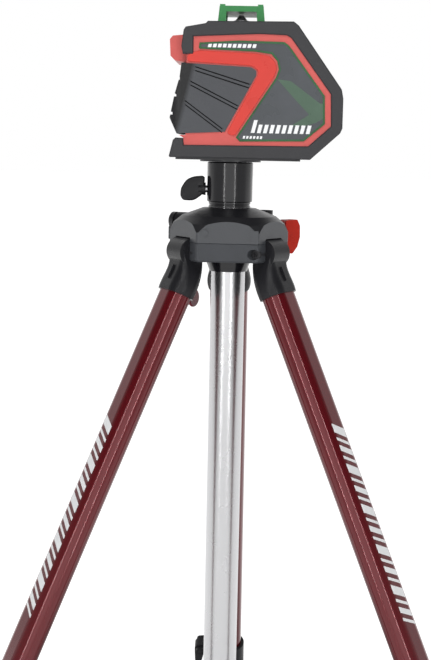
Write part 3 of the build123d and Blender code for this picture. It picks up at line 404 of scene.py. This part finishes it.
def slanted_bar(x, z, width, height):
    return [(x, z), (x + width, z), (x + width + height * SLANT, z + height),
            (x + height * SLANT, z + height)]


def bar_row(count, x, z, pitch, width, height):
    return [slanted_bar(x + pitch * k, z, width, height) for k in range(count)]


def groove_line(start, end, shift):
    """A slim strip of painted shade along the floor of one groove of the grip."""
    (x0, z0), (x1, z1) = start, end
    low, high = shift - GROOVE_HALF, shift + GROOVE_HALF
    return [(x0, z0 + low), (x1, z1 + low), (x1, z1 + high), (x0, z0 + high)]


def dress_sides():
    meter = bar_row(*METER_ROW)
    meter[0] = slanted_bar(*METER_ROW[1:3], METER_ROW[4], METER_FIRST_HEIGHT)
    bars = bar_row(*TALLY_ROW) + meter + bar_row(*TICK_ROW)
    grooves = [groove_line(start, end, shift) for start, end in GRIP_GROOVES
               for shift in (-GROOVE_GAP, GROOVE_GAP)]
    for side, name in ((1, "near"), (-1, "far")):
        band = plates(f"band_{name}", [rounded(BAND, 2.5)], PANEL - 0.3, PANEL + 0.9, side, 0.7)
        add_piece(f"band_{name}", band, RED_BAND, "pan_head")
        mark = plates(f"chevron_{name}", [rounded(CHEVRON_SHAPE, 1)], LABEL_FACE - SUNK,
                      LABEL_FACE + 0.06, side)
        add_piece(f"chevron_{name}", mark, CHEVRON, "pan_head")
        prints = plates(f"prints_{name}", bars, LABEL_FACE - SUNK, LABEL_FACE + 0.1, side)
        add_piece(f"prints_{name}", prints, WHITE_PRINT, "pan_head")
        shade_strips = plates(f"groove_shade_strips_{name}", grooves, GROOVE_FLOOR - SUNK,
                        GROOVE_FLOOR + 0.1, side)
        add_piece(f"groove_shade_strips_{name}", shade_strips, GROOVE_PAINTED_SHADE, "pan_head")
        border = border_ring(f"label_border_{name}", "side_labels",
                             AXIS.y - side * LABEL_FACE * MM, BORDER_WIDTH, BORDER_RISE)
        add_piece(f"label_border_{name}", border, LABEL_EDGE, "pan_head")


dress_sides()

# ---------------------------------------------------------------- pan knob
LEAF = [(-34.6, 24.4), (-32.6, 21.6), (-25.0, 21.4), (-18.4, 26.4), (-18.0, 31.5), (-17.6, 37.8),
        (-19.2, 38.9), (-25.6, 38.4), (-30.4, 36.2), (-34.4, 30.2)]
LEAF_CENTRE, LEAF_CORNER, LEAF_HALF = Vector((-26.2, 30.0)), 3.0, 3.4
# The leaf's rings from its near dish to its rim: how far in to the centre, and the depth.
LEAF_RINGS = ((0.40, 0.80), (0.22, 0.92), (0.08, 1.0), (0.0, 0.62))
COLLAR_RADIUS, COLLAR_FLARE, COLLAR_LENGTH, COLLAR_END = 3.6, 1.25, 5.0, 17.0
PAN_KNOB_HEIGHT = 29.8


def leaf_point(x, depth, height):
    """A place from mm along, mm towards the camera and mm above the hub's reference level."""
    return Vector((AXIS.x + x * MM, AXIS.y - depth * MM, AXIS.z + height * MM))


def build_pan_knob():
    """A thumb leaf with a thick rounded rim, a dished middle and a collar round its screw."""
    bm = bmesh.new()
    points = rounded(LEAF, LEAF_CORNER)
    far_rings = [(inset, -depth) for inset, depth in reversed(LEAF_RINGS)]
    rings = []
    for inset, depth in (*LEAF_RINGS, (0.0, 0.0), *far_rings):
        ring = [Vector(point).lerp(LEAF_CENTRE, inset) for point in points]
        rings.append([bm.verts.new(leaf_point(x, depth * LEAF_HALF, z)) for x, z in ring])
    for near, far in zip(rings, rings[1:]):
        for i in range(len(points)):
            bm.faces.new([near[i - 1], near[i], far[i], far[i - 1]])
    bm.faces.new(rings[0])
    bm.faces.new(rings[-1])
    leaf = finish_mesh(bm, "pan_leaf")
    collar = bmesh.new()
    turn = Matrix.Rotation(radians(90), 4, "Y")
    middle = leaf_point(-(COLLAR_END + COLLAR_LENGTH / 2), 0, PAN_KNOB_HEIGHT)
    bmesh.ops.create_cone(collar, cap_ends=True, segments=40, radius1=COLLAR_RADIUS * MM,
                          radius2=COLLAR_RADIUS * COLLAR_FLARE * MM,
                          depth=COLLAR_LENGTH * MM,
                          matrix=Matrix.Translation(middle) @ turn)
    return leaf, finish_mesh(collar, "pan_collar", smooth=False)


leaf_mesh, collar_mesh = build_pan_knob()
leaf = add_piece("pan_leaf", leaf_mesh, CLAMP, "pan_knob")
add_piece("pan_collar", collar_mesh, CLAMP, "pan_knob")
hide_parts("pan_knob")

# ---------------------------------------------------------------- leg details
JOINTS = {joint["name"]: joint for joint in frame["joints"]}
TUBE_INSET, TUBE_HALF_WIDTH, TUBE_HALF_DEPTH = 5.3, 14.0, 8.8
PRINT_START, PRINT_END, PRINT_GAP, PRINT_REACH = 128.0, 268.0, 3.4, 7.0
PRINT_LENGTHS = (6.4, 2.2, 4.2, 2.2)
PRINT_LEAN = 0.45            # how far a bar runs down the leg for each mm across it
PRINT_STEPS = 10


class LegFrame:
    """Places on an open leg: mm across it, mm out of its front and mm down from the pivot."""

    def __init__(self, leg):
        fold = JOINTS[f"leg_{leg}_fold"]
        self.pivot = Vector(fold["pos_m"])
        self.across = Vector(fold["axis"]).normalized()
        self.down = Vector(JOINTS[f"leg_{leg}_mid_slide"]["axis"]).normalized()
        self.front = self.down.cross(self.across)

    def at(self, x, y, s):
        return self.pivot + (self.across * x + self.front * y + self.down * s) * MM


def stadium_point(arc, radius):
    """A point on the tube's outline, from the distance round it from the front's middle."""
    flat = TUBE_HALF_WIDTH - TUBE_HALF_DEPTH
    if abs(arc) <= flat:
        return arc, radius
    turn = (abs(arc) - flat) / TUBE_HALF_DEPTH
    across = flat + radius * sin(turn)
    return (across if arc > 0 else -across), radius * cos(turn)


def add_wrapped_bar(bm, place, start, length):
    """A printed bar that follows the tube round its front, slanted along the leg."""
    rows = []
    for radius in (TUBE_HALF_DEPTH - 0.1, TUBE_HALF_DEPTH + 0.05):
        for end in (0, length):
            row = []
            for k in range(PRINT_STEPS + 1):
                arc = PRINT_REACH * (2 * k / PRINT_STEPS - 1)
                x, y = stadium_point(arc, radius)
                s = start + end + PRINT_LEAN * arc
                row.append(bm.verts.new(place.at(x, y - TUBE_INSET, s)))
            rows.append(row)
    under, under_end, over, over_end = rows
    for k in range(PRINT_STEPS):
        for a, b in ((under, under_end), (over_end, over), (over, under), (under_end, over_end)):
            bm.faces.new([a[k], a[k + 1], b[k + 1], b[k]])
    for k in (0, -1):
        bm.faces.new([under[k], under_end[k], over_end[k], over[k]])


def print_legs():
    for leg in LEGS:
        place, bm = LegFrame(leg), bmesh.new()
        start, number = PRINT_START, 0
        while start < PRINT_END:
            length = PRINT_LENGTHS[number % len(PRINT_LENGTHS)]
            add_wrapped_bar(bm, place, start, length)
            start, number = start + length + PRINT_GAP, number + 1
        mesh = finish_mesh(bm, f"leg_{leg}_print", smooth=False)
        add_piece(f"leg_{leg}_print", mesh, WHITE_PRINT, f"leg_{leg}_upper")


print_legs()

# ---------------------------------------------------------------- stage, light and camera
# Lengths here are in metres, and places count from the hub's reference point.
FLOOR_SIZE = 60.0
PAPER_FROM_TO = (0.06, 0.44)  # the paper glows outside the feet, so shadows show between them
FRONT_GLOW, BACK_GLOW = 0.40, 0.92
GLOW_FROM_TO = (-1.6, 0.3)    # behind the middle, where the glow rises to its brightest


def build_stage():
    bpy.ops.mesh.primitive_plane_add(size=FLOOR_SIZE, location=(0, 0, 0))
    floor = bpy.context.object
    floor.name = "floor"
    material, nodes, links, shader = new_material("floor paper")
    mottle = noise(nodes, links, coordinates(nodes, links), 6, 3)
    tones = [(0.3, (0.56, 0.56, 0.56)), (0.7, (0.59, 0.59, 0.59))]
    links.new(ramp(nodes, links, mottle, tones), shader.inputs["Base Color"])
    shader.inputs["Roughness"].default_value = 0.9
    shader.inputs["Emission Color"].default_value = (1, 1, 1, 1)
    vector = coordinates(nodes, links)
    reach = nodes.new("ShaderNodeVectorMath")
    reach.operation = "LENGTH"
    links.new(vector, reach.inputs[0])
    place = nodes.new("ShaderNodeSeparateXYZ")
    links.new(vector, place.inputs["Vector"])
    glow = nodes.new("ShaderNodeMath")
    glow.operation = "MULTIPLY"
    links.new(soft_spread(nodes, links, reach.outputs["Value"], 1, PAPER_FROM_TO), glow.inputs[0])
    links.new(spread(nodes, links, place.outputs["Y"], FRONT_GLOW, BACK_GLOW, *GLOW_FROM_TO),
              glow.inputs[1])
    links.new(glow.outputs[0], shader.inputs["Emission Strength"])
    floor.data.materials.append(material)


def area_light(name, offset, size, power):
    """A light that aims at the laser."""
    data = bpy.data.lights.new(name, "AREA")
    data.shape = "RECTANGLE"
    data.size, data.size_y = size
    data.energy = power
    light = bpy.data.objects.new(name, data)
    bpy.context.scene.collection.objects.link(light)
    light.location = AXIS + Vector(offset)
    aim = LIGHT_TARGET - Vector(offset)
    light.rotation_euler = aim.to_track_quat("-Z", "Y").to_euler()


SWEEP_FROM_TO = (0.0, 0.97)  # how far a direction points backwards, from pale to white
LIGHT_TARGET = Vector((0, 0, 0.02))


def build_world():
    """A white sweep behind the tripod, a pale band around the horizon and a dim ceiling."""
    world = bpy.data.worlds.new("studio")
    bpy.context.scene.world = world
    world.use_nodes = True
    nodes, links = world.node_tree.nodes, world.node_tree.links
    direction = nodes.new("ShaderNodeTexCoord")
    split = nodes.new("ShaderNodeSeparateXYZ")
    links.new(direction.outputs["Generated"], split.inputs["Vector"])
    height = spread(nodes, links, split.outputs["Z"], 0, 1, -1, 1)
    around = ramp(nodes, links, height, [(0.5, (0.60,) * 3), (0.58, (0.55,) * 3),
                                         (0.70, (0.10,) * 3)])
    brightest = nodes.new("ShaderNodeMath")
    brightest.operation = "MAXIMUM"
    links.new(around, brightest.inputs[0])
    links.new(soft_spread(nodes, links, split.outputs["Y"], 1, SWEEP_FROM_TO),
              brightest.inputs[1])
    links.new(brightest.outputs[0], nodes["Background"].inputs["Color"])
    nodes["Background"].inputs["Strength"].default_value = 1.0


def build_light():
    """A broad dim softbox in front with a bright strip at each end, and light from above."""
    area_light("softbox", (0, -1.9, 0.3), (1.7, 1.5), 7)
    area_light("left strip", (-0.85, -1.7, 0.1), (0.05, 2.0), 6.5)
    area_light("right strip", (0.85, -1.7, 0.1), (0.05, 2.0), 6.0)
    area_light("high front", (-0.1, -1.2, 1.5), (0.8, 0.8), 16)


CAMERA_PLACE = Vector((0.0216, -0.9373, 0.0553))
CAMERA_TURN, CAMERA_DIP, CAMERA_ROLL = -1.81, 7.61, 1.17      # in degrees
CAMERA_LENS, SENSOR = 72.53, 36.0


def build_camera():
    yaw, dip, roll = (radians(a) for a in (CAMERA_TURN, CAMERA_DIP, CAMERA_ROLL))
    ahead = Vector((sin(yaw) * cos(dip), cos(yaw) * cos(dip), -sin(dip)))
    level = Vector((cos(yaw), -sin(yaw), 0))
    upward = level.cross(ahead)
    right = level * cos(roll) + upward * sin(roll)
    up = upward * cos(roll) - level * sin(roll)
    data = bpy.data.cameras.new("camera")
    data.lens = CAMERA_LENS
    data.sensor_width = SENSOR
    data.clip_start, data.clip_end = 0.05, 50
    camera = bpy.data.objects.new("camera", data)
    bpy.context.scene.collection.objects.link(camera)
    turn = Matrix((right, up, -ahead)).transposed().to_4x4()
    camera.matrix_world = Matrix.Translation(AXIS + CAMERA_PLACE) @ turn
    bpy.context.scene.camera = camera


build_stage()
build_world()
build_light()
build_camera()
bpy.context.scene.view_settings.view_transform = "Standard"
